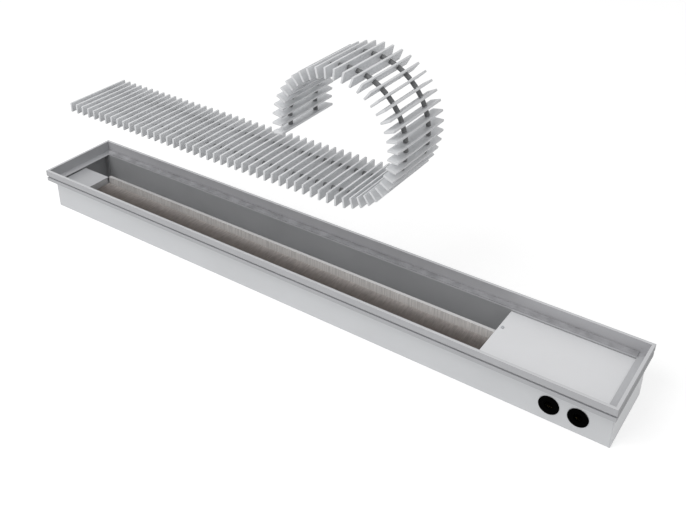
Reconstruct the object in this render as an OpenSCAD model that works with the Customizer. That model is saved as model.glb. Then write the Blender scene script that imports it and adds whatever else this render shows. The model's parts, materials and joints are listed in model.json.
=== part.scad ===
// Trench convector heater for a floor: a sheet-metal trough with an aluminium frame,
// a copper and aluminium heat exchanger, lift-off covers and a roll-up grille.
// Origin: centre of the trough's plan at its underside. X runs along the trough,
// Y from its front wall to its back wall, Z up. The grille is drawn taken off, above
// the trough, with its right-hand part curled up.

/* [Trough] */
// Length over the two end walls
trough_len = 1259; // [1000:1:2400]
// Width over the front and back walls
trough_w = 143; // [140:1:260]
// Height of the walls, up to the frame's foot
trough_h = 70; // [70:1:140]
// Thickness of the folded sheet
sheet = 1.5; // [1:0.1:2]
// Diameter of the pipe entries in the front wall
entry_d = 32; // [26:1:36]
// Height of the pipe entries' axis
entry_z = 31.7; // [30:0.1:45]
// Distance between the two pipe entries
entry_pitch = 47.7; // [44:0.1:60]
// From the right end wall to the axis of the nearer entry
entry_end = 54.6; // [48:0.1:80]
// Diameter of the floor anchor holes
anchor_d = 9; // [6:0.5:11]
// From an end wall to the anchor holes' axis
anchor_end = 29.5; // [22:0.5:36]
// From the front or back wall to the anchor holes' axis
anchor_side = 21.5; // [16:0.5:30]

/* [Frame] */
// Height from the frame's foot to its top
frame_h = 24.6; // [22:0.1:32]
// How far the frame stands out past the front and back walls
frame_out_side = 19; // [12:0.5:19]
// How far the frame stands out past the end walls
frame_out_end = 5.5; // [4:0.5:12]
// Width of the frame's top edge
lip_w = 5.5; // [5:0.5:10]
// How far the ledge reaches in past the long walls' inner faces
ledge_over = 0.5; // [0.5:0.5:6]
// Thickness of the ledge that carries the grille
ledge_t = 2; // [1.5:0.5:4]
// Wall thickness of the hollow bar
bar_t = 1.5; // [1.2:0.1:1.8]
// Height of the outer groove's lower edge above the frame's foot
groove_z = 8; // [4:0.5:9]
// Height of the outer groove
groove_h = 4; // [3.5:0.1:5]
// Depth of the outer groove, from the outer face
groove_d = 3.5; // [2:0.5:4]
// How far the foot below the groove stands back from the outer face
foot_in = 0.5; // [0.5:0.1:2]

/* [Grille] */
// Pitch of the slats
pitch = 16.85; // [15:0.05:20]
// Thickness of a slat
slat_t = 4; // [3:0.5:7]
// Gap between a slat's end and the frame, on each side
slat_end_gap = 10.5; // [2:0.5:12]
// How far the seated slats stay below the frame's top
slat_top_drop = 0.7; // [0.3:0.1:2]
// From a slat's top edge down to the axis of its spacer sleeves
sleeve_drop = 11; // [5.5:0.1:12]
// Outer diameter of a spacer sleeve
sleeve_d = 8.5; // [7:0.1:10]
// Diameter of the spring that runs through the slats
spring_d = 5; // [3:0.1:5.5]
// Distance between the two rows of sleeves
sleeve_rows = 73; // [50:1:90]
// Least gap between an end slat and the frame
grille_end_least = 16; // [8:0.5:20]
// Turn from one curled slat to the next, in degrees
curl_turn = 8.4; // [6:0.05:8.5]
// How far right of its seat the taken-off grille is
grille_out_x = 70.6; // [0:0.1:120]
// How far above its seat the taken-off grille is
grille_out_z = 182.4; // [120:0.1:200]

/* [Heat exchanger] */
// Outer diameter of the copper tube
tube_d = 15; // [12:1:16]
// Wall thickness of the copper tube
tube_t = 1; // [0.7:0.1:1.2]
// Distance between the two tubes
tube_pitch = 28; // [26:1:32]
// Pitch of the fins
fin_pitch = 10; // [5:0.5:14]
// Thickness of a fin
fin_t = 0.8; // [0.5:0.1:1]
// From the front wall's inner face to the fins
fin_front_gap = 8.5; // [6:0.5:12]
// From the partition to the fins
fin_back_gap = 4; // [3:0.5:6]
// Height of the fins' lower edge
fin_bottom = 10; // [6:0.5:14]
// From the partition's top edge down to the fins' upper edge
fin_top_drop = 12; // [8:0.5:16]

/* [Covers] */
// How far the covers and the partition stay below the wall's top
cover_drop = 2; // [0.5:0.5:2]
// From the left end wall to the partition's left end
left_room = 90.3; // [80:0.1:100]
// From the right end wall to the connection cover's left edge
right_room = 233.5; // [200:0.5:260]
// Gap between the covers' outer edges and the frame's ledge
cover_play = 0.3; // [0.3:0.1:3]

/* [Hidden] */
// Slats that curl up, one node each
CURLED = 33;

// Smoothness of round parts, and the overrun that every cut has past its faces
$fn = 48;
cut = 1;

// Gap between a piece that lifts off and what it rests on
rest_gap = 0.3;
// Radial clearance of a tube in a hole, of a turning shaft and of a loose fit
tube_play = 0.05;
shaft_play = 0.1;
loose_play = 0.4;

// Trough and frame, outside and inside
frame_len = trough_len + 2 * frame_out_end;
frame_w = trough_w + 2 * frame_out_side;
frame_top = trough_h + frame_h;
ledge_top = trough_h + ledge_t;
// From the frame's outer face to the inner edge of its ledge
ledge_reach = max(frame_out_side, frame_out_end) + sheet + ledge_over;
opening_len = frame_len - 2 * lip_w;
opening_w = frame_w - 2 * lip_w;
inner_y = trough_w / 2 - sheet;
end_x = trough_len / 2;
cover_z = trough_h - cover_drop;

// Tabs that fold in from the end walls
tab_len = 12;
tab_gap = 4;

// Corner keys inside the frame's chamber, and the rivets in its groove
key_len = 40;
key_play = 0.2;
chamber_z = groove_z + groove_h + bar_t;
rivet_head_d = 3.4;
rivet_head_t = 1;
rivet_d = 2;
rivet_near = 11;
rivet_far = 19;

// Rubber strips on the ledge
strip_t = 2;
strip_edge = 1;
strip_gap = 1.5;
strip_w = ledge_reach - lip_w - strip_edge - strip_gap;

// Grille: slat height and length follow the frame, and the count fills its length
seat_z = ledge_top + strip_t + rest_gap;
slat_h = frame_top - slat_top_drop - seat_z;
slat_l = opening_w - 2 * slat_end_gap;
slat_n = floor((opening_len - slat_t - 2 * grille_end_least) / pitch) + 1;
flat_n = slat_n - CURLED;
spring_play = 0.1;
stop_d = 7.5;
stop_t = 1.5;
// Gap left at each turning place, and between the ends of two spring lengths
hinge_gap = 1;
spring_end_gap = 0.7;
first_x = -((slat_n - 1) * pitch + slat_t) / 2 + grille_out_x;
line_z = seat_z + slat_h - sleeve_drop + grille_out_z;
hinge_x = first_x + (flat_n - 1) * pitch + slat_t + hinge_gap;
sleeve_len = pitch - slat_t;
link_sleeve_len = sleeve_len - hinge_gap;

// Partition, whose right end runs on under the connection cover
cover_x0 = end_x - right_room;
cover_lap = 15;
part_x0 = -end_x + left_room;
part_x1 = cover_x0 + cover_lap;
part_len = part_x1 - part_x0;
hem_w = 6.5;
air_slots = 6;
air_slot_h = 16;
leg_w = 24;
leg_foot = 12;
screw_tab_w = 26;

// Exchanger
tube_y = -(inner_y - fin_front_gap + fin_back_gap) / 2;
fin_w = inner_y - fin_front_gap - fin_back_gap;
fin_top = cover_z - fin_top_drop;
bracket_t = sheet;
bracket_foot = 10;
bracket_left_x = part_x0 - bracket_t - cut;
bend_gap = 20.8;
bend_x = bracket_left_x - bend_gap;
bracket_right_x = cover_x0 + cut;
fin_end_gap = 2.5;
fin_x0 = bracket_left_x + bracket_t + fin_end_gap;
fin_n = floor((bracket_right_x - fin_end_gap - fin_x0 - fin_t) / fin_pitch) + 1;
flow_x = end_x - entry_end - entry_pitch;
return_x = end_x - entry_end;
tube_front_y = tube_y - tube_pitch / 2;
tube_back_y = tube_y + tube_pitch / 2;

// Valves: sockets that take the tubes, bodies, outlets and union nuts
socket_wall = 3;
socket_d = tube_d + 2 * socket_wall;
socket_len = 15;
socket_depth = 8;
valve_reach = 24;
neck_wall = 0.5;
neck_d = tube_d + 2 * neck_wall;
body_wall = 3.5;
body_d = tube_d + 2 * body_wall;
body_h = 24;
outlet_wall = 1.5;
outlet_d = tube_d + 2 * outlet_wall;
nut_wall = 4.5;
nut_d = tube_d + 2 * nut_wall;
nut_len = 11;
nut_gap = 5.5;
nut_y = -inner_y + nut_gap;
union_play = 0.1;
union_depth = 12;
bonnet_d = 18;
stem_d = 5;
cap_d = 24;
// The bonnet, its stem and the cap share the height between valve and cover
axis_room = cover_z - sheet - entry_z;
cap_gap = 2.8;
head_h = axis_room - cap_gap - body_h / 2;
bonnet_share = 0.4;
stem_share = 0.3;
cap_lift_share = 0.2;
cap_top_share = 0.2;
bonnet_h = head_h * bonnet_share;
stem_h = head_h * stem_share;
cap_lift = head_h * cap_lift_share;
cap_h = head_h - cap_lift;
cap_top_t = head_h * cap_top_share;
cap_rib_d = 2;
cap_ribs = 18;
spindle_d = 8;
spindle_h = 6;
spindle_neck_d = 16;
spindle_neck_h = 9;
spindle_floor = 1;
driver_slot = 1.4;

// Bleed valve on the left end of the front tube
bleed_x = (bend_x + bracket_left_x) / 2;
bleed_ring_d = tube_d + 2 * socket_wall;
bleed_ring_len = 10;
bleed_boss_d = 10;
bleed_boss_share = 0.45;
bleed_depth_share = 0.6;
bleed_boss_top = tube_d / 2 + (axis_room - tube_d / 2) * bleed_boss_share;
bleed_screw_d = 5;
bleed_depth = (bleed_boss_top - tube_d / 2) * bleed_depth_share;
bleed_head_d = 8;
bleed_head_h = 2.7;

// Covers
cover_skirt = 8;
cover_leg_w = 12;
cover_end_x = min(frame_len / 2 - ledge_reach, end_x - sheet - tab_len) - cover_play;
cover_half_w = frame_w / 2 - ledge_reach - cover_play;
cover_len = cover_end_x - cover_x0;
end_cover_front_gap = 5.5;
end_cover_back_gap = 1;
end_cover_lap = 0.3;
cover_screw_y = 18.8;
cover_screw_in = 6.5;
cover_screw_d = 4;
screw_head_d = 6;
screw_head_t = 1.6;
screw_len = 6;

// Grommets
grommet_lip_over = 1.25;
grommet_lip_d = entry_d + 2 * grommet_lip_over;
grommet_lip_t = 1.2;
grommet_back_t = 1.5;
grommet_play = 0.1;
grommet_bore_play = 0.4;

// Upright cylinder, and cylinders that lie along X or along Y
module rod_x(d, len) rotate([0, 90, 0]) cylinder(d = d, h = len);
module rod_y(d, len) rotate([-90, 0, 0]) cylinder(d = d, h = len);

// Same piece at both ends, or on both sides
module both_ends() { children(); mirror([1, 0, 0]) children(); }
module both_sides() { children(); mirror([0, 1, 0]) children(); }

// Shape drawn in the Y-Z plane and drawn out along X
module along_x(len) rotate([90, 0, 90]) linear_extrude(len) children();

module trough_shell() {
    color("#c8cbcd") difference() {
        translate([-end_x + sheet, 0, 0]) along_x(trough_len - 2 * sheet) difference() {
            translate([-trough_w / 2, 0]) square([trough_w, trough_h]);
            translate([-inner_y, sheet]) square([2 * inner_y, trough_h]);
        }
        for (x = [flow_x, return_x])
            translate([x, -trough_w / 2 - cut, entry_z]) rod_y(entry_d, sheet + 2 * cut);
        both_ends() both_sides()
            translate([end_x - anchor_end, trough_w / 2 - anchor_side, -cut])
                cylinder(d = anchor_d, h = sheet + 2 * cut);
    }
}

module end_wall() {
    translate([-end_x, -trough_w / 2, 0]) cube([sheet, trough_w, trough_h]);
    both_sides() translate([-end_x + sheet, -inner_y, tab_gap])
        cube([tab_len, sheet, trough_h - 2 * tab_gap]);
}
module end_wall_left() color("#c2c5c8") end_wall();
module end_wall_right() color("#c2c5c8") mirror([1, 0, 0]) end_wall();

// Section of a frame bar: X from the outer face inwards, Y up from the frame's foot
module bar_section() {
    difference() {
        polygon([[foot_in, 0], [ledge_reach, 0], [ledge_reach, ledge_t], [lip_w, ledge_t],
            [lip_w, frame_h], [0, frame_h], [0, groove_z + groove_h],
            [groove_d, groove_z + groove_h], [groove_d, groove_z], [foot_in, groove_z]]);
        translate([bar_t, chamber_z])
            square([lip_w - 2 * bar_t, frame_h - bar_t - chamber_z]);
    }
}

// Bar along X with mitred ends, its outer face on Y = 0
module frame_bar(len) {
    half = len / 2 + cut;
    intersection() {
        translate([-len / 2, 0, 0]) along_x(len) bar_section();
        translate([0, 0, -cut]) linear_extrude(frame_h + 2 * cut)
            polygon([[-half, -cut], [half, -cut],
                [half - ledge_reach - 2 * cut, ledge_reach + cut],
                [ledge_reach + 2 * cut - half, ledge_reach + cut]]);
    }
}

// Places of the rivets in the front bar's groove, on the groove's back face
module at_rivets() {
    for (x = [rivet_near, rivet_far]) both_ends()
        translate([frame_len / 2 - x, groove_d - frame_w / 2, trough_h + groove_z + groove_h / 2])
            children();
}

module long_bar() {
    difference() {
        translate([0, -frame_w / 2, trough_h]) frame_bar(frame_len);
        at_rivets() translate([0, -cut, 0]) rod_y(rivet_d, lip_w - groove_d + 2 * cut);
    }
}
module end_bar() translate([-frame_len / 2, 0, trough_h]) rotate([0, 0, -90]) frame_bar(frame_w);
module frame_front_bar() color("#bdbfc3") long_bar();
module frame_back_bar() color("#bdbfc3") mirror([0, 1, 0]) long_bar();
module frame_left_bar() color("#b7b9bd") end_bar();
module frame_right_bar() color("#b7b9bd") mirror([1, 0, 0]) end_bar();

module frame_corner_keys() {
    near = bar_t + key_play;
    far = lip_w - bar_t - key_play;
    color("#8d8f92") both_ends() both_sides()
        translate([-frame_len / 2, -frame_w / 2, trough_h + chamber_z + key_play])
            linear_extrude(frame_h - bar_t - chamber_z - 2 * key_play)
                polygon([[near, near], [key_len, near], [key_len, far], [far, far],
                    [far, key_len], [near, key_len]]);
}

module frame_rivets() {
    color("#6f7175") both_sides() at_rivets() {
        translate([0, -rivet_head_t, 0]) rod_y(rivet_head_d, rivet_head_t);
        rod_y(rivet_d, lip_w - groove_d);
    }
}

module rest_strips() {
    strip_len = frame_len - 2 * ledge_reach;
    color("#85878a") both_sides()
        translate([-strip_len / 2, frame_w / 2 - ledge_reach + strip_edge, ledge_top])
            cube([strip_len, strip_w, strip_t]);
}

// Upright guide plate: top hem, legs with feet, air slots between the legs, and a lower
// right end with the screw tab, both under the connection cover
module partition_plate() {
    slot_pitch = (part_len - leg_w) / air_slots;
    open_len = cover_x0 - rest_gap - part_x0;
    color("#b3b6b9") {
        difference() {
            union() {
                translate([part_x0, 0, sheet]) cube([open_len, sheet, cover_z - sheet]);
                translate([part_x0, 0, cover_z - sheet]) cube([open_len, hem_w, sheet]);
                translate([part_x0, 0, sheet]) cube([part_len, sheet, cover_z - 2 * sheet - rest_gap]);
                translate([cover_x0, 0, cover_z - 2 * sheet - rest_gap])
                    cube([cover_lap, screw_tab_w, sheet]);
                for (i = [0:air_slots])
                    translate([part_x0 + i * slot_pitch, 0, sheet]) cube([leg_w, leg_foot, sheet]);
            }
            for (i = [0:air_slots - 1])
                translate([part_x0 + leg_w + i * slot_pitch, -cut, sheet - cut])
                    cube([slot_pitch - leg_w, sheet + 2 * cut, air_slot_h + cut]);
            translate([cover_x0 + cover_screw_in, cover_screw_y, cover_z - 3 * sheet])
                cylinder(d = cover_screw_d + 2 * shaft_play, h = 2 * sheet);
        }
    }
}

// Lift-off cover over the U-bend: top, skirt and two legs at its outer end
module end_cover() {
    x0 = -cover_end_x;
    x1 = part_x0 - end_cover_lap;
    y0 = -inner_y + end_cover_front_gap;
    y1 = -end_cover_back_gap;
    color("#cfd1d3") {
        translate([x0, y0, cover_z - sheet]) cube([x1 - x0, y1 - y0, sheet]);
        for (y = [y0, y1 - cover_leg_w])
            translate([x0, y, sheet + rest_gap])
                cube([sheet, cover_leg_w, cover_z - 2 * sheet - rest_gap]);
        translate([x0, y0, cover_z - sheet - cover_skirt]) cube([sheet, y1 - y0, cover_skirt]);
    }
}

// Lift-off cover over the pipe connections
module connection_cover() {
    x1 = cover_x0 + cover_len;
    color("#dcdddf") difference() {
        union() {
            translate([cover_x0, -cover_half_w, cover_z - sheet])
                cube([cover_len, 2 * cover_half_w, sheet]);
            both_sides() translate([x1 - sheet, -cover_half_w, sheet + rest_gap])
                cube([sheet, cover_leg_w, cover_z - 2 * sheet - rest_gap]);
            translate([x1 - sheet, -cover_half_w, cover_z - sheet - cover_skirt])
                cube([sheet, 2 * cover_half_w, cover_skirt]);
        }
        translate([cover_x0 + cover_screw_in, cover_screw_y, cover_z - sheet - cut])
            cylinder(d = cover_screw_d + 2 * shaft_play, h = sheet + 2 * cut);
    }
}

// Quarter-turn screw that holds the connection cover down
module cover_screw() {
    color("#7d7f82") translate([cover_x0 + cover_screw_in, cover_screw_y, cover_z + shaft_play])
        difference() {
            union() {
                cylinder(d = screw_head_d, h = screw_head_t);
                translate([0, 0, -screw_len]) cylinder(d = cover_screw_d, h = screw_len);
            }
            translate([-screw_head_d, -driver_slot / 2, screw_head_t / 2])
                cube([2 * screw_head_d, driver_slot, screw_head_t]);
        }
}

// Rubber grommets: outer lip, neck in the wall, back lip, and a bore for the pipe
module pipe_grommets() {
    bore_r = tube_d / 2 + grommet_bore_play;
    neck_r = entry_d / 2 - grommet_play;
    lip_r = grommet_lip_d / 2;
    color("#161616") for (x = [flow_x, return_x])
        translate([x, -inner_y, entry_z]) rotate([90, 0, 0]) rotate_extrude()
            polygon([[bore_r, -grommet_back_t], [lip_r, -grommet_back_t], [lip_r, 0],
                [neck_r, 0], [neck_r, sheet], [lip_r, sheet],
                [lip_r, sheet + grommet_lip_t], [bore_r, sheet + grommet_lip_t]]);
}

// Copper tubes: two straight runs and the U-bend at the left
module exchanger_tubes() {
    color("#b06a42") translate([0, 0, entry_z]) {
        for (run = [[tube_front_y, flow_x], [tube_back_y, return_x]])
            translate([bend_x, run[0], 0]) difference() {
                rod_x(tube_d, run[1] - valve_reach + socket_depth - bend_x);
                translate([-cut, 0, 0])
                    rod_x(tube_d - 2 * tube_t, run[1] - valve_reach + socket_depth - bend_x + 2 * cut);
            }
        translate([bend_x, tube_y, 0]) rotate([0, 0, 90])
            rotate_extrude(angle = 180) translate([tube_pitch / 2, 0]) difference() {
                circle(d = tube_d);
                circle(d = tube_d - 2 * tube_t);
            }
    }
}

module exchanger_fins() {
    color("#b9aea0") for (i = [0:fin_n - 1])
        translate([fin_x0 + i * fin_pitch, 0, 0]) along_x(fin_t) difference() {
            translate([tube_y - fin_w / 2, fin_bottom]) square([fin_w, fin_top - fin_bottom]);
            for (y = [tube_front_y, tube_back_y])
                translate([y, entry_z]) circle(d = tube_d + 2 * tube_play);
        }
}

// Bracket that carries both tubes and the edge of a cover
module bracket() {
    along_x(bracket_t) difference() {
        translate([tube_y - fin_w / 2, sheet])
            square([fin_w, cover_z - 2 * sheet - rest_gap]);
        for (y = [tube_front_y, tube_back_y])
            translate([y, entry_z]) circle(d = tube_d + 2 * tube_play);
    }
}
module exchanger_brackets() {
    color("#a9acaf") {
        translate([bracket_left_x, 0, 0]) {
            bracket();
            translate([-bracket_foot, tube_y - fin_w / 2, sheet]) cube([bracket_foot, fin_w, sheet]);
        }
        translate([bracket_right_x, 0, 0]) {
            bracket();
            translate([bracket_t, tube_y - fin_w / 2, sheet]) cube([bracket_foot, fin_w, sheet]);
        }
    }
}

// Outside of an angle valve at the origin: tube socket to the left, outlet to the front
module valve_outside(y) {
    translate([-valve_reach, 0, 0]) rod_x(socket_d, socket_len);
    translate([-valve_reach, 0, 0]) rod_x(neck_d, valve_reach);
    translate([0, 0, -body_h / 2]) cylinder(d = body_d, h = body_h);
    translate([0, nut_y - y, 0]) {
        rod_y(outlet_d, y - nut_y);
        rotate([-90, 0, 0]) cylinder(d = nut_d, h = nut_len, $fn = 6);
    }
}
module valve_bores(y) {
    translate([-valve_reach - cut, 0, 0]) rod_x(tube_d + 2 * tube_play, socket_depth + cut);
    translate([0, nut_y - y - cut, 0]) rod_y(tube_d + 2 * union_play, union_depth + cut);
}

// Thermostatic valve on the flow pipe, with its bonnet and stem
module flow_valve() {
    color("#b9a36a") translate([flow_x, tube_front_y, entry_z]) {
        difference() {
            valve_outside(tube_front_y);
            valve_bores(tube_front_y);
        }
        translate([0, 0, body_h / 2]) cylinder(d = bonnet_d, h = bonnet_h);
        translate([0, 0, body_h / 2 + bonnet_h]) cylinder(d = stem_d, h = stem_h);
    }
}

// Ribbed hand cap over the bonnet
module valve_cap() {
    color("#2b2c2e") translate([flow_x, tube_front_y, entry_z + body_h / 2 + cap_lift])
        difference() {
            cylinder(d = cap_d, h = cap_h);
            translate([0, 0, -cut]) cylinder(d = bonnet_d + 2 * loose_play, h = cap_h - cap_top_t + cut);
            for (i = [0:cap_ribs - 1]) rotate([0, 0, i * 360 / cap_ribs])
                translate([cap_d / 2, 0, -cut]) cylinder(d = cap_rib_d, h = cap_h + 2 * cut);
        }
}

// Lockshield valve on the return pipe, with the neck that holds its spindle
module return_valve() {
    color("#b9a36a") translate([return_x, tube_back_y, entry_z]) difference() {
        union() {
            valve_outside(tube_back_y);
            translate([0, 0, body_h / 2]) cylinder(d = spindle_neck_d, h = spindle_neck_h);
        }
        valve_bores(tube_back_y);
        translate([0, 0, body_h / 2 + spindle_floor])
            cylinder(d = spindle_d + 2 * shaft_play, h = spindle_neck_h);
    }
}
module return_spindle() {
    color("#9a9c9f")
        translate([return_x, tube_back_y, entry_z + body_h / 2 + spindle_floor + rest_gap])
            difference() {
                cylinder(d = spindle_d, h = spindle_h);
                translate([-spindle_d, -driver_slot / 2, spindle_h - driver_slot])
                    cube([2 * spindle_d, driver_slot, 2 * driver_slot]);
            }
}

// Bleed valve: ring on the front tube with an upright boss
module bleed_valve() {
    color("#b9a36a") translate([bleed_x, tube_front_y, entry_z]) difference() {
        union() {
            translate([-bleed_ring_len / 2, 0, 0]) rod_x(bleed_ring_d, bleed_ring_len);
            cylinder(d = bleed_boss_d, h = bleed_boss_top);
        }
        translate([-bleed_ring_len / 2 - cut, 0, 0])
            rod_x(tube_d + 2 * tube_play, bleed_ring_len + 2 * cut);
        translate([0, 0, bleed_boss_top - bleed_depth])
            cylinder(d = bleed_screw_d + 2 * shaft_play, h = bleed_depth + cut);
    }
}
module bleed_screw() {
    color("#9a9c9f") translate([bleed_x, tube_front_y, entry_z + bleed_boss_top])
        difference() {
            union() {
                translate([0, 0, rest_gap - bleed_depth])
                    cylinder(d = bleed_screw_d, h = bleed_depth);
                translate([0, 0, rest_gap]) cylinder(d = bleed_head_d, h = bleed_head_h);
            }
            translate([-bleed_head_d, -driver_slot / 2, rest_gap + bleed_head_h - driver_slot])
                cube([2 * bleed_head_d, driver_slot, 2 * driver_slot]);
        }
}

// One slat, its left face on X = 0 and the sleeves' axis on Z = 0
module slat() {
    difference() {
        translate([0, -slat_l / 2, sleeve_drop - slat_h]) cube([slat_t, slat_l, slat_h]);
        for (y = [-1, 1]) translate([-cut, y * sleeve_rows / 2, 0])
            rod_x(spring_d + 2 * spring_play, slat_t + 2 * cut);
    }
}

// A spacer sleeve on each of the two springs, from X = 0
module sleeve_pair(len) {
    both_sides() translate([0, sleeve_rows / 2, 0]) difference() {
        rod_x(sleeve_d, len);
        translate([-cut, 0, 0]) rod_x(spring_d + 2 * spring_play, len + 2 * cut);
    }
}
module spring_pair(len) both_sides() translate([0, sleeve_rows / 2, 0]) rod_x(spring_d, len);
module stop_pair() both_sides() translate([0, sleeve_rows / 2, 0]) rod_x(stop_d, stop_t);

// Flat part of the grille
module grille_slats() {
    color("#c3c5c8") for (i = [0:flat_n - 1])
        translate([first_x + i * pitch, 0, line_z]) slat();
}
// Its sleeves, with the stops at the springs' left ends
module grille_sleeves() {
    color("#77797c") {
        for (i = [0:flat_n - 2])
            translate([first_x + i * pitch + slat_t, 0, line_z]) sleeve_pair(sleeve_len);
        translate([first_x - stop_t, 0, line_z]) stop_pair();
    }
}
module grille_springs() {
    color("#9a9c9f") translate([first_x, 0, line_z])
        spring_pair((flat_n - 1) * pitch + slat_t + hinge_gap - spring_end_gap);
}

// Turning place of the k-th curled slat: every link is one pitch long and turned
// by curl_turn against the one before it, so the places lie on a circle
function chord(k) = pitch * sin((k - 1) * curl_turn / 2) / sin(curl_turn / 2);
function turn_x(k) = hinge_x + chord(k) * cos(k * curl_turn / 2);
function turn_z(k) = line_z + chord(k) * sin(k * curl_turn / 2);

// The k-th curled slat with the sleeves and the spring lengths that turn with it
module curled_slat(k) {
    last = k == CURLED;
    color("#c3c5c8") translate([turn_x(k), 0, turn_z(k)]) rotate([0, -k * curl_turn, 0]) {
        translate([link_sleeve_len, 0, 0]) slat();
        sleeve_pair(link_sleeve_len);
        spring_pair(link_sleeve_len + slat_t + (last ? 0 : hinge_gap - spring_end_gap));
        if (last) translate([link_sleeve_len + slat_t, 0, 0]) stop_pair();
    }
}

trough_shell();
end_wall_left();
end_wall_right();
frame_front_bar();
frame_back_bar();
frame_left_bar();
frame_right_bar();
frame_corner_keys();
frame_rivets();
rest_strips();
partition_plate();
end_cover();
connection_cover();
cover_screw();
pipe_grommets();
exchanger_tubes();
exchanger_fins();
exchanger_brackets();
flow_valve();
valve_cap();
return_valve();
return_spindle();
bleed_valve();
bleed_screw();
grille_slats();
grille_sleeves();
grille_springs();
for (k = [1:CURLED]) curled_slat(k);
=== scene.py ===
import bpy
import bmesh
import json
from math import cos, floor, pi, radians, sin
from mathutils import Matrix, Vector


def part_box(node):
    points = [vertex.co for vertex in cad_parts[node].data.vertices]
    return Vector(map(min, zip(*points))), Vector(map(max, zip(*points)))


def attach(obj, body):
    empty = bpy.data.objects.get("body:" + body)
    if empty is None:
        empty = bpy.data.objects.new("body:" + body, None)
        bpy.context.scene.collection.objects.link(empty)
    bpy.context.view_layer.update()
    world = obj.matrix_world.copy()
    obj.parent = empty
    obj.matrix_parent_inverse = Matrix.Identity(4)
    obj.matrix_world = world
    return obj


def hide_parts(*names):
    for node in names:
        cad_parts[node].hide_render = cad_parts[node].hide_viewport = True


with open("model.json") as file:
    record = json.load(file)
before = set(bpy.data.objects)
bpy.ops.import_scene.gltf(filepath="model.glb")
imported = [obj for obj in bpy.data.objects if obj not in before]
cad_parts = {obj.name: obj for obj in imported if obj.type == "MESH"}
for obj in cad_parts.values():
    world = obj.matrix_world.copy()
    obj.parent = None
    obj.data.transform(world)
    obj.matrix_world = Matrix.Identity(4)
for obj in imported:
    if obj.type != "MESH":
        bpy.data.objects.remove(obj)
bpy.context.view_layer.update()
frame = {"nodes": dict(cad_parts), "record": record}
scene = bpy.context.scene
mm = 0.001


# small helpers for node trees

def newMaterial(name):
    mat = bpy.data.materials.new(name)
    mat.use_nodes = True
    mat.node_tree.nodes.clear()
    out = mat.node_tree.nodes.new("ShaderNodeOutputMaterial")
    shader = mat.node_tree.nodes.new("ShaderNodeBsdfPrincipled")
    mat.node_tree.links.new(shader.outputs["BSDF"], out.inputs["Surface"])
    return mat, shader


def addNode(mat, kind, **values):
    node = mat.node_tree.nodes.new(kind)
    for key, value in values.items():
        if key in node.inputs:
            node.inputs[key].default_value = value
        else:
            setattr(node, key, value)
    return node


def link(mat, outSocket, inSocket):
    mat.node_tree.links.new(outSocket, inSocket)


def objectCoords(mat, scale=(1, 1, 1)):
    # place on the piece, in metres
    coords = addNode(mat, "ShaderNodeTexCoord")
    mapping = addNode(mat, "ShaderNodeMapping", Scale=scale)
    link(mat, coords.outputs["Object"], mapping.inputs["Vector"])
    return mapping.outputs["Vector"]


def noise(mat, vector, scale, detail, rough=0.5):
    tex = addNode(mat, "ShaderNodeTexNoise", Scale=scale, Detail=detail, Roughness=rough)
    link(mat, vector, tex.inputs["Vector"])
    return tex.outputs["Fac"]


def ramp(mat, fac, stops):
    node = addNode(mat, "ShaderNodeValToRGB")
    elements = node.color_ramp.elements
    while len(elements) > len(stops):
        elements.remove(elements[-1])
    while len(elements) < len(stops):
        elements.new(1.0)
    for element, (place, colour) in zip(elements, stops):
        element.position = place
        element.color = (*colour, 1)
    link(mat, fac, node.inputs["Fac"])
    return node.outputs["Color"]


def mapRange(mat, value, low, high, toLow, toHigh):
    node = addNode(mat, "ShaderNodeMapRange")
    for socket, number in zip(("From Min", "From Max", "To Min", "To Max"), (low, high, toLow, toHigh)):
        node.inputs[socket].default_value = number
    link(mat, value, node.inputs["Value"])
    return node.outputs["Result"]


def shade(colour, factor):
    return tuple(min(1, c * factor) for c in colour)


def bumpFrom(mat, height, strength, distance, shader):
    node = addNode(mat, "ShaderNodeBump", Strength=strength, Distance=distance)
    link(mat, height, node.inputs["Height"])
    link(mat, node.outputs["Normal"], shader.inputs["Normal"])


# materials: scales of clouds and grain per metre, depths of grain

sheetLook = {"clouds": 9, "grain": 2200, "grainShow": 0.12, "grainDepth": 0.03 * mm}
profileLook = {"clouds": 14, "streakShow": 0.10, "streakDepth": 0.04 * mm, "smoother": 0.07, "rougher": 0.09}
# shadeFrom and shadeTo bound the partition's painted shade along X
guideLook = {"clouds": 14, "mottle": 0.04, "shadeFrom": -500 * mm, "shadeTo": 100 * mm}
# front and back are where the fins' painted shade and painted light end
finLookAndPaintedShade = {"clouds": (900, 60, 60), "mottle": 0.15, "front": -61.5 * mm, "back": -4 * mm}
metalLook = {"clouds": 60, "grain": 900, "grainShow": 0.08, "grainDepth": 0.03 * mm, "rougher": 0.15,
             "smoother": 0.05}
polymerLook = {"clouds": 40, "darker": 0.8, "lighter": 1.15, "roughSpread": 0.06, "grainShow": 0.25,
               "grainDepth": 0.05 * mm, "grain": 1500, "capGrain": 1200}


def coatedSheet(name, colour, metal, roughLow, roughHigh, mottle):
    # pale coated steel: faint cloudy tone, very fine grain
    mat, shader = newMaterial(name)
    clouds = noise(mat, objectCoords(mat), sheetLook["clouds"], 4)
    grain = noise(mat, objectCoords(mat), sheetLook["grain"], 2)
    link(mat, ramp(mat, clouds, [(0.3, shade(colour, 1 - mottle)), (0.7, shade(colour, 1 + mottle))]),
         shader.inputs["Base Color"])
    link(mat, mapRange(mat, clouds, 0.3, 0.7, roughLow, roughHigh), shader.inputs["Roughness"])
    shader.inputs["Metallic"].default_value = metal
    bumpFrom(mat, grain, sheetLook["grainShow"], sheetLook["grainDepth"], shader)
    return mat


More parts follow.
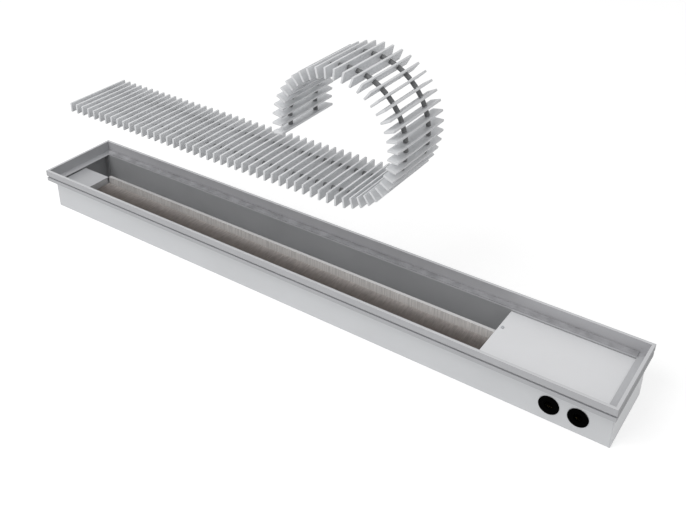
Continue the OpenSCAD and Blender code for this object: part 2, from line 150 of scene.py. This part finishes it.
def drawnAluminium(name, colour, rough, streakScale, mottle, metal):
    # anodised profile: fine streaks along the drawing direction
    mat, shader = newMaterial(name)
    streaks = noise(mat, objectCoords(mat, streakScale), 1.0, 5, 0.62)
    clouds = noise(mat, objectCoords(mat), profileLook["clouds"], 3)
    link(mat, ramp(mat, clouds, [(0.3, shade(colour, 1 - mottle)), (0.7, shade(colour, 1 + mottle))]),
         shader.inputs["Base Color"])
    low, high = rough - profileLook["smoother"], rough + profileLook["rougher"]
    link(mat, mapRange(mat, streaks, 0.3, 0.7, low, high), shader.inputs["Roughness"])
    shader.inputs["Metallic"].default_value = metal
    bumpFrom(mat, streaks, profileLook["streakShow"], profileLook["streakDepth"], shader)
    return mat


def scaleColour(mat, colour, factor):
    node = addNode(mat, "ShaderNodeVectorMath", operation="SCALE")
    link(mat, colour, node.inputs[0])
    link(mat, factor, node.inputs["Scale"])
    return node.outputs["Vector"]


def guideFacePaintedLight(name, colour, metal, rough, lineScale, contrast, paintedShadeLeft):
    # plate beside the fins: painted reflection of the fins as fine upright lines, and painted shade deepening
    # towards its left end
    mat, shader = newMaterial(name)
    clouds = noise(mat, objectCoords(mat), guideLook["clouds"], 3)
    # painted reflection of the fins: fine upright lines
    paintedReflection = noise(mat, objectCoords(mat, lineScale), 1.0, 2)
    split = addNode(mat, "ShaderNodeSeparateXYZ")
    link(mat, objectCoords(mat), split.inputs[0])
    mottle = guideLook["mottle"]
    tone = ramp(mat, clouds, [(0.3, shade(colour, 1 - mottle)), (0.7, shade(colour, 1 + mottle))])
    lined = scaleColour(mat, tone, mapRange(mat, paintedReflection, 0.35, 0.65, 1 - contrast, 1 + contrast))
    # painted shade: darker towards the plate's left end
    across = mapRange(mat, split.outputs["X"], guideLook["shadeFrom"], guideLook["shadeTo"], paintedShadeLeft, 1)
    link(mat, scaleColour(mat, lined, across), shader.inputs["Base Color"])
    shader.inputs["Roughness"].default_value = rough
    shader.inputs["Metallic"].default_value = metal
    return mat


def finSheetPaintedLight(name, metal, rough, stops):
    # thin coated fins with painted light and shade: pale at the back, darker and browner towards the front
    # wall
    mat, shader = newMaterial(name)
    clouds = noise(mat, objectCoords(mat, finLookAndPaintedShade["clouds"]), 1.0, 3)
    split = addNode(mat, "ShaderNodeSeparateXYZ")
    link(mat, objectCoords(mat), split.inputs[0])
    # painted light and shade: colour ramp from the front wall to the back
    tone = ramp(mat, mapRange(mat, split.outputs["Y"], finLookAndPaintedShade["front"], finLookAndPaintedShade["back"], 0, 1), stops)
    mottled = mapRange(mat, clouds, 0.3, 0.7, 1 - finLookAndPaintedShade["mottle"], 1 + finLookAndPaintedShade["mottle"])
    link(mat, scaleColour(mat, tone, mottled), shader.inputs["Base Color"])
    shader.inputs["Roughness"].default_value = rough
    shader.inputs["Metallic"].default_value = metal
    return mat


def plainMetal(name, colour, rough, dull):
    # turned or drawn metal with slightly tarnished patches
    mat, shader = newMaterial(name)
    clouds = noise(mat, objectCoords(mat), metalLook["clouds"], 4)
    link(mat, ramp(mat, clouds, [(0.35, shade(colour, dull)), (0.6, colour)]), shader.inputs["Base Color"])
    low, high = rough + metalLook["rougher"], rough - metalLook["smoother"]
    link(mat, mapRange(mat, clouds, 0.3, 0.7, low, high), shader.inputs["Roughness"])
    shader.inputs["Metallic"].default_value = 1.0
    bumpFrom(mat, noise(mat, objectCoords(mat), metalLook["grain"], 2), metalLook["grainShow"],
             metalLook["grainDepth"], shader)
    return mat


def mouldedPolymer(name, colour, rough, grainScale, shine=0.5):
    # rubber and plastic: fine moulded grain, slightly uneven tone
    mat, shader = newMaterial(name)
    shader.inputs["Specular IOR Level"].default_value = shine
    clouds = noise(mat, objectCoords(mat), polymerLook["clouds"], 3)
    link(mat, ramp(mat, clouds, [(0.35, shade(colour, polymerLook["darker"])),
                                 (0.65, shade(colour, polymerLook["lighter"]))]), shader.inputs["Base Color"])
    spread = polymerLook["roughSpread"]
    link(mat, mapRange(mat, clouds, 0.3, 0.7, rough - spread, rough + spread), shader.inputs["Roughness"])
    bumpFrom(mat, noise(mat, objectCoords(mat), grainScale, 2), polymerLook["grainShow"],
             polymerLook["grainDepth"], shader)
    return mat


sheetMat = coatedSheet("troughSheet", (0.66, 0.67, 0.685), 0.35, 0.34, 0.46, 0.03)
# darker copy of the sheet for the trough's inner faces
innerMat = coatedSheet("troughInside", (0.40, 0.405, 0.415), 0.2, 0.40, 0.52, 0.04)
coverMat = coatedSheet("coverSheet", (0.78, 0.785, 0.80), 0.15, 0.36, 0.48, 0.02)
endCoverMat = coatedSheet("endCoverSheet", (0.47, 0.475, 0.49), 0.35, 0.26, 0.38, 0.03)
guideMat = coatedSheet("guideSheet", (0.62, 0.605, 0.60), 0.35, 0.24, 0.34, 0.04)
profileMat = drawnAluminium("frameProfile", (0.50, 0.505, 0.52), 0.48, (6, 900, 900), 0.03, 0.2)
crossProfileMat = drawnAluminium("frameCrossProfile", (0.48, 0.485, 0.50), 0.48, (900, 6, 900), 0.03, 0.2)
# lighter copies of the profile for the top lip: painted highlight
lipPaintedLightMat = drawnAluminium("frameLipPaintedLight", (0.63, 0.635, 0.65), 0.48, (6, 900, 900), 0.03, 0.2)
crossLipPaintedLightMat = drawnAluminium("frameCrossLipPaintedLight", (0.62, 0.625, 0.64), 0.48, (900, 6, 900), 0.03, 0.2)
# the back bar's own, less metallic copy of the profile, its tone set to offset the grille's shadow on it:
# painted light
backProfilePaintedLightMat = drawnAluminium("frameBackProfilePaintedLight", (0.47, 0.47, 0.485), 0.55, (6, 900, 900), 0.01, 0.1)
# darker copy in the outer groove: painted shade
groovePaintedShadeMat = drawnAluminium("frameGroovePaintedShade", (0.42, 0.425, 0.44), 0.48, (6, 900, 900), 0.03, 0.2)
# darker copy on the end bars' outer sides: painted shade
endFacePaintedShadeMat = drawnAluminium("frameEndFacePaintedShade", (0.33, 0.335, 0.345), 0.48, (900, 6, 900), 0.03, 0.2)
# partition hem and fin side: painted shade towards the left end, the fin side also a painted reflection of
# the fins
hemPaintedShadeMat = guideFacePaintedLight("guideHemPaintedShade", (0.60, 0.595, 0.595), 0.15, 0.40, (4, 1, 1), 0.02, 0.72)
guideFaceMat = guideFacePaintedLight("guideFacePaintedLight", (0.73, 0.71, 0.695), 0.2, 0.36, (420, 1, 20), 0.14, 0.80)
slatMat = drawnAluminium("grilleSlat", (0.75, 0.76, 0.775), 0.46, (900, 12, 900), 0.04, 0.15)
# sleeves: their own dark grey, made darker still as painted shade between the slats
sleeveGreyAndPaintedShadeMat = mouldedPolymer("grilleSleeveGreyAndPaintedShade", (0.16, 0.163, 0.167), 0.5, polymerLook["grain"])
# fin ramp stops: painted shade at the front wall up to painted light at the back
finPaintedLightMat = finSheetPaintedLight("exchangerFinPaintedLight", 0.4, 0.40,
                  [(0.0, (0.20, 0.165, 0.145)), (0.22, (0.17, 0.135, 0.12)), (0.34, (0.36, 0.32, 0.30)),
                   (0.65, (0.50, 0.46, 0.44)), (1.0, (0.84, 0.81, 0.79))])
# near-black metal for the valve unions' bores: painted shade
borePaintedShadeMat = plainMetal("valveBorePaintedShade", (0.02, 0.018, 0.015), 0.6, 0.75)
copperMat = plainMetal("copperTube", (0.72, 0.40, 0.25), 0.24, 0.7)
brassMat = plainMetal("valveBrass", (0.72, 0.58, 0.30), 0.26, 0.8)
steelMat = plainMetal("zincSteel", (0.52, 0.53, 0.55), 0.28, 0.8)
capMat = mouldedPolymer("capPlastic", (0.035, 0.035, 0.037), 0.45, polymerLook["capGrain"])
# black rubber taken to full black with almost no shine: the rubber's own black plus painted shade for the
# pipe holes
grommetBlackAndPaintedShadeMat = mouldedPolymer("grommetRubberAndPaintedShade", (0.001, 0.001, 0.001), 0.8, polymerLook["grain"], 0.01)
stripMat = mouldedPolymer("stripRubber", (0.36, 0.36, 0.375), 0.6, polymerLook["grain"])
print("materials made")


# meshes

meshSet = {"join": 0.01 * mm, "flat": radians(1), "sharp": radians(32), "bevelFrom": radians(40),
           "bevelSteps": 2}


def finish(bm, name, mats, body, replaced=()):
    mesh = bpy.data.meshes.new(name)
    bm.to_mesh(mesh)
    bm.free()
    mesh.shade_smooth()
    mesh.set_sharp_from_angle(angle=meshSet["sharp"])
    obj = bpy.data.objects.new(name, mesh)
    scene.collection.objects.link(obj)
    for mat in mats:
        mesh.materials.append(mat)
    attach(obj, body)
    if replaced:
        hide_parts(*replaced)
    return obj


def addBevel(obj, width):
    bevel = obj.modifiers.new("softEdges", "BEVEL")
    bevel.width = width
    bevel.segments = meshSet["bevelSteps"]
    bevel.limit_method = "ANGLE"
    bevel.angle_limit = meshSet["bevelFrom"]
    bevel.harden_normals = True


def mergedNode(node, name, mats, body, bevelWidth, pick=None):
    # the CAD node's own shape with joined corners and slightly broken edges;
    # pick() gives each face the number of its material
    bm = bmesh.new()
    bm.from_mesh(frame["nodes"][node].data)
    bmesh.ops.remove_doubles(bm, verts=bm.verts, dist=meshSet["join"])
    bmesh.ops.dissolve_limit(bm, angle_limit=meshSet["flat"], verts=bm.verts, edges=bm.edges)
    for face in bm.faces:
        face.material_index = int(pick(face.calc_center_bounds(), face.normal)) if pick else 0
    obj = finish(bm, name, mats, body, [node])
    if bevelWidth:
        addBevel(obj, bevelWidth)


def giveMaterial(mat, *nodes):
    for node in nodes:
        mesh = frame["nodes"][node].data
        mesh.materials.clear()
        mesh.materials.append(mat)


# trough, frame and covers keep their CAD shape; a face counts as level or upright
# from this part of its normal on, and as being at a height within this distance

straight = 0.9
near = 1 * mm
troughSet = {"sheetEdge": 0.4 * mm, "coverEdge": 0.45 * mm, "guideEdge": 0.3 * mm, "wallFrom": 10 * mm,
             "endWallFrom": 100 * mm}
frameSet = {"edge": 0.35 * mm, "grooveLow": 8 * mm, "grooveHigh": 12 * mm, "margin": 0.1 * mm,
            "endFrom": 400 * mm}
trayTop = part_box("trough_shell")[1][2]


def frameLightAndShadePick(middle, normal):
    # 1 for the top edge (painted highlight), 2 for the outer groove (painted shade), 3 for an end bar's outer
    # side (painted shade)
    low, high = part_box("frame_left_bar")
    margin = frameSet["margin"]
    if normal.z > straight and middle.z > high[2] - near:
        return 1
    if frameSet["grooveLow"] - margin < middle.z - low[2] < frameSet["grooveHigh"] + margin:
        return 2
    return 3 if middle.x * normal.x > frameSet["endFrom"] and abs(normal.x) > straight else 0


def guideSide(middle, normal):
    # 1 for the hem's top, 2 for the side that faces the fins; both get painted shade towards the left end,
    # the side also the painted reflection of the fins
    if normal.y < -straight and middle.y < near:
        return 2
    return 1 if normal.z > straight and middle.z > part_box("partition_plate")[1][2] - near else 0


def facesInwards(middle, normal):
    # walls' inner sides and the bottom's upper side, which take the darker copy of the sheet
    if normal.z > straight and middle.z < trayTop / 2:
        return True
    return middle.y * normal.y < -troughSet["wallFrom"] or middle.x * normal.x < -troughSet["endWallFrom"]


for node, name in (("trough_shell", "troughShell"), ("end_wall_left", "leftEndWall"),
                   ("end_wall_right", "rightEndWall")):
    mergedNode(node, name, [sheetMat, innerMat], "trough", troughSet["sheetEdge"],
               facesInwards)
crossMats = [crossProfileMat, crossLipPaintedLightMat, groovePaintedShadeMat, endFacePaintedShadeMat]
for node, name, mats in (("frame_front_bar", "frontBar", [profileMat, lipPaintedLightMat, groovePaintedShadeMat]),
                         ("frame_back_bar", "backBar", [backProfilePaintedLightMat, lipPaintedLightMat, groovePaintedShadeMat]),
                         ("frame_left_bar", "leftBar", crossMats),
                         ("frame_right_bar", "rightBar", crossMats)):
    mergedNode(node, name, mats, "trough", frameSet["edge"], frameLightAndShadePick)
for node, name, mat in (("end_cover", "endCover", endCoverMat),
                        ("connection_cover", "connectionCover", coverMat)):
    mergedNode(node, name, [mat], node, troughSet["coverEdge"])
mergedNode("partition_plate", "partitionPlate", [guideMat, hemPaintedShadeMat, guideFaceMat], "trough",
           troughSet["guideEdge"], guideSide)
print("trough, frame and covers done")


# heat exchanger: fine fins on the two tubes

finSet = {"pitch": 2.6 * mm, "thickness": 0.35 * mm}


def finPack():
    low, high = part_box("exchanger_fins")
    count = floor((high[0] - low[0]) / finSet["pitch"])
    start = (low[0] + high[0]) / 2 - (count - 1) * finSet["pitch"] / 2
    size = (finSet["thickness"], high[1] - low[1], high[2] - low[2])
    middle = ((low[1] + high[1]) / 2, (low[2] + high[2]) / 2)
    bm = bmesh.new()
    for i in range(count):
        place = Matrix.Translation((start + i * finSet["pitch"], middle[0], middle[1]))
        bmesh.ops.create_cube(bm, size=1, matrix=place @ Matrix.Diagonal((*size, 1)))
    finish(bm, "finPack", [finPaintedLightMat], "trough", ["exchanger_fins"])


finPack()
print("fins done")


# grille: slats and sleeves, flat part and curled part

grilleSet = {"pitch": 16.85 * mm, "slat": 4 * mm, "drop": 11 * mm, "hingeGap": 1 * mm, "turn": radians(8.4),
             "rows": 73 * mm, "sleeve": 8.5 * mm, "spring": 5 * mm, "edge": 0.5 * mm, "sleeveEdge": 0.4 * mm,
             "curled": 33, "stop": 7.5 * mm, "stopLen": 1.5 * mm, "stopEdge": 0.3 * mm,
             "springStart": 0.6 * mm, "sides": 20}


def grilleSizes():
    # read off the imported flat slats
    low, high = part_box("grille_slats")
    flat = round((high[0] - low[0] - grilleSet["slat"]) / grilleSet["pitch"]) + 1
    return low, high, flat, high[2] - grilleSet["drop"]


slatLow, slatHigh, flatCount, lineZ = grilleSizes()
slatLen = slatHigh[1] - slatLow[1]
slatTall = slatHigh[2] - slatLow[2]


def addSlat(bm, place):
    # one slat, its left face on X = 0 and the sleeves' axis on Z = 0
    size = (grilleSet["slat"], slatLen, slatTall)
    middle = Matrix.Translation((size[0] / 2, 0, grilleSet["drop"] - slatTall / 2))
    made = bmesh.ops.create_cube(bm, size=1, matrix=place @ middle @ Matrix.Diagonal((*size, 1)))
    edges = list({e for v in made["verts"] for e in v.link_edges})
    bmesh.ops.bevel(bm, geom=edges, offset=grilleSet["edge"], segments=2, profile=0.5,
                    affect="EDGES", material=-1)


def rodProfile(start, length, radius, rounding):
    # distance along X and radius of each ring, the rims rounded in two steps
    inset = rounding / cos(pi / grilleSet["sides"])
    steps = [(1 - cos(angle), 1 - sin(angle)) for angle in (0, pi / 4, pi / 2)] if rounding else [(0, 0)]
    left = [(start + rounding * along, radius - inset * inwards) for along, inwards in steps]
    return left + [(2 * start + length - along, ring) for along, ring in reversed(left)]


def addRod(bm, place, start, length, diameter, rounding):
    # round piece along X at both sleeve rows
    count = grilleSet["sides"]
    for side in (-1, 1):
        rings = []
        for along, radius in rodProfile(start, length, diameter / 2, rounding):
            spots = [Vector((along, side * grilleSet["rows"] / 2 + radius * cos(2 * pi * i / count),
                             -radius * sin(2 * pi * i / count))) for i in range(count)]
            rings.append([bm.verts.new(place @ spot) for spot in spots])
        bm.faces.new(rings[0])
        bm.faces.new(reversed(rings[-1]))
        for ring, following in zip(rings, rings[1:]):
            for i in range(count):
                bm.faces.new((ring[i - 1], following[i - 1], following[i], ring[i]))


def flatGrille():
    sleeveLen = grilleSet["pitch"] - grilleSet["slat"]
    slats, sleeves = bmesh.new(), bmesh.new()
    for i in range(flatCount):
        place = Matrix.Translation((slatLow[0] + i * grilleSet["pitch"], 0, lineZ))
        addSlat(slats, place)
        if i < flatCount - 1:
            addRod(sleeves, place, grilleSet["slat"], sleeveLen, grilleSet["sleeve"], grilleSet["sleeveEdge"])
    addRod(sleeves, Matrix.Translation((slatLow[0], 0, lineZ)), -grilleSet["stopLen"], grilleSet["stopLen"],
           grilleSet["stop"], grilleSet["stopEdge"])
    finish(slats, "flatSlats", [slatMat], "grille", ["grille_slats"])
    finish(sleeves, "flatSleeves", [sleeveGreyAndPaintedShadeMat], "grille", ["grille_sleeves"])


def curledGrille():
    # each link is one pitch long and turned against the one before it
    sleeveLen = grilleSet["pitch"] - grilleSet["slat"] - grilleSet["hingeGap"]
    hinge = Vector((slatHigh[0] + grilleSet["hingeGap"], 0, lineZ))
    for k in range(1, grilleSet["curled"] + 1):
        angle = k * grilleSet["turn"]
        place = Matrix.Translation(hinge) @ Matrix.Rotation(-angle, 4, "Y")
        node = f"curled_slat_{k}"
        slat, sleeves, spring = bmesh.new(), bmesh.new(), bmesh.new()
        addSlat(slat, place @ Matrix.Translation((sleeveLen, 0, 0)))
        addRod(sleeves, place, 0, sleeveLen, grilleSet["sleeve"], grilleSet["sleeveEdge"])
        if k == grilleSet["curled"]:
            addRod(sleeves, place, sleeveLen + grilleSet["slat"], grilleSet["stopLen"], grilleSet["stop"],
                   grilleSet["stopEdge"])
        addRod(spring, place, -grilleSet["springStart"], grilleSet["springStart"], grilleSet["spring"], 0)
        finish(slat, f"curledSlat{k:02d}", [slatMat], node, [node])
        finish(sleeves, f"curledSleeves{k:02d}", [sleeveGreyAndPaintedShadeMat], node)
        finish(spring, f"curledSpring{k:02d}", [steelMat], node)
        hinge += Vector((cos(angle), 0, sin(angle))) * grilleSet["pitch"]


flatGrille()
curledGrille()
print("grille done")


# small parts keep their CAD shape and get their finish

giveMaterial(steelMat, "frame_corner_keys", "frame_rivets", "cover_screw", "return_spindle", "bleed_screw",
             "grille_springs")
giveMaterial(stripMat, "rest_strips")
# grommets: black rubber and painted shade for the pipe holes
giveMaterial(grommetBlackAndPaintedShadeMat, "pipe_grommets")
giveMaterial(copperMat, "exchanger_tubes")
giveMaterial(sheetMat, "exchanger_brackets")
giveMaterial(brassMat, "bleed_valve")

unionSet = {"bore": 7.7 * mm, "depth": 14 * mm}


def unionBoreShadePick(socket):
    # picks the union's bore and its floor, which get painted shade
    def pick(middle, normal):
        across = Vector((middle.x - socket.x, 0, middle.z - socket.z))
        return across.length < unionSet["bore"] and socket.y < middle.y < socket.y + unionSet["depth"]
    return pick


# the unions' bores get the painted shade material
for node, name, mount in (("flow_valve", "flowValve", 2), ("return_valve", "returnValve", 3)):
    socketPlace = Vector(frame["record"]["mounts"][mount]["pos_m"])
    mergedNode(node, name, [brassMat, borePaintedShadeMat], "trough", 0, unionBoreShadePick(socketPlace))
giveMaterial(capMat, "valve_cap")
print("finishes given")


# studio: white floor, soft light, camera of the photograph

studioSet = {"floorSize": 14, "floorDrop": 0.3 * mm, "floorTone": 0.50, "floorGlow": 0.66,
             "floorCloud": 0.8, "floorSpread": 1.02, "floorRough": 0.9, "worldTone": 0.55,
             "keyPlace": (-0.9, -2.6, 3.2), "keySize": 2.6, "keyPower": 78}


def makeFloor():
    bm = bmesh.new()
    bmesh.ops.create_grid(bm, x_segments=1, y_segments=1, size=studioSet["floorSize"] / 2,
                          matrix=Matrix.Translation((0, 0, -studioSet["floorDrop"])))
    mesh = bpy.data.meshes.new("studioFloor")
    bm.to_mesh(mesh)
    bm.free()
    obj = bpy.data.objects.new("studioFloor", mesh)
    scene.collection.objects.link(obj)
    mat, shader = newMaterial("studioFloor")
    tone = (studioSet["floorTone"],) * 3
    soft = noise(mat, objectCoords(mat), studioSet["floorCloud"], 2)
    link(mat, ramp(mat, soft, [(0.3, tone), (0.7, shade(tone, studioSet["floorSpread"]))]),
         shader.inputs["Base Color"])
    shader.inputs["Roughness"].default_value = studioSet["floorRough"]
    shader.inputs["Specular IOR Level"].default_value = 0.0
    # a little glow that only the camera and mirrored rays see turns the pale floor white
    rays = addNode(mat, "ShaderNodeLightPath")
    glow = addNode(mat, "ShaderNodeEmission", Color=(1, 1, 1, 1), Strength=studioSet["floorGlow"])
    none = addNode(mat, "ShaderNodeEmission", Color=(0, 0, 0, 1), Strength=0.0)
    seen = addNode(mat, "ShaderNodeMixShader")
    both = addNode(mat, "ShaderNodeAddShader")
    eye = addNode(mat, "ShaderNodeMath", operation="MAXIMUM")
    link(mat, rays.outputs["Is Camera Ray"], eye.inputs[0])
    link(mat, rays.outputs["Is Glossy Ray"], eye.inputs[1])
    link(mat, eye.outputs[0], seen.inputs["Fac"])
    link(mat, none.outputs[0], seen.inputs[1])
    link(mat, glow.outputs[0], seen.inputs[2])
    link(mat, shader.outputs["BSDF"], both.inputs[0])
    link(mat, seen.outputs[0], both.inputs[1])
    out = next(n for n in mat.node_tree.nodes if n.type == "OUTPUT_MATERIAL")
    link(mat, both.outputs[0], out.inputs["Surface"])
    mesh.materials.append(mat)


def makeWorld():
    world = bpy.data.worlds.new("studioWorld")
    scene.world = world
    world.use_nodes = True
    tree = world.node_tree
    tree.nodes.clear()
    out = tree.nodes.new("ShaderNodeOutputWorld")
    mix = tree.nodes.new("ShaderNodeMixShader")
    light = tree.nodes.new("ShaderNodeBackground")
    shown = tree.nodes.new("ShaderNodeBackground")
    rays = tree.nodes.new("ShaderNodeLightPath")
    first = tree.nodes.new("ShaderNodeMath")
    second = tree.nodes.new("ShaderNodeMath")
    first.operation = second.operation = "MAXIMUM"
    light.inputs["Color"].default_value = (1, 1, 1, 1)
    light.inputs["Strength"].default_value = studioSet["worldTone"]
    shown.inputs["Color"].default_value = (1, 1, 1, 1)
    shown.inputs["Strength"].default_value = 1.0
    tree.links.new(rays.outputs["Is Camera Ray"], first.inputs[0])
    tree.links.new(rays.outputs["Is Glossy Ray"], first.inputs[1])
    tree.links.new(first.outputs[0], second.inputs[0])
    tree.links.new(rays.outputs["Is Transmission Ray"], second.inputs[1])
    tree.links.new(second.outputs[0], mix.inputs["Fac"])
    tree.links.new(light.outputs[0], mix.inputs[1])
    tree.links.new(shown.outputs[0], mix.inputs[2])
    tree.links.new(mix.outputs[0], out.inputs["Surface"])


def makeLamp(name, place, size, power):
    lamp = bpy.data.lights.new(name, "AREA")
    lamp.shape = "SQUARE"
    lamp.size = size
    lamp.energy = power
    obj = bpy.data.objects.new(name, lamp)
    scene.collection.objects.link(obj)
    obj.location = place
    obj.rotation_euler = (-Vector(place)).to_track_quat("-Z", "Y").to_euler()


cameraSet = {"place": (0.84104, -1.12444, 1.0242), "yaw": 0.6142, "pitch": 0.4888, "roll": -0.0021,
             "sensor": 36, "far": 50, "lens": 46.351, "shift": (0.02652, -0.14331)}


def makeCamera():
    data = bpy.data.cameras.new("photoCamera")
    data.sensor_fit = "HORIZONTAL"
    data.sensor_width = cameraSet["sensor"]
    data.lens = cameraSet["lens"]
    data.shift_x, data.shift_y = cameraSet["shift"]
    data.clip_end = cameraSet["far"]
    obj = bpy.data.objects.new("photoCamera", data)
    scene.collection.objects.link(obj)
    turn = (Matrix.Rotation(cameraSet["yaw"], 4, "Z") @ Matrix.Rotation(pi / 2 - cameraSet["pitch"], 4, "X")
            @ Matrix.Rotation(cameraSet["roll"], 4, "Z"))
    obj.matrix_world = Matrix.Translation(cameraSet["place"]) @ turn
    scene.camera = obj


makeFloor()
makeWorld()
makeLamp("keyLamp", studioSet["keyPlace"], studioSet["keySize"], studioSet["keyPower"])
makeCamera()
scene.view_settings.view_transform = "Standard"
print("studio ready")
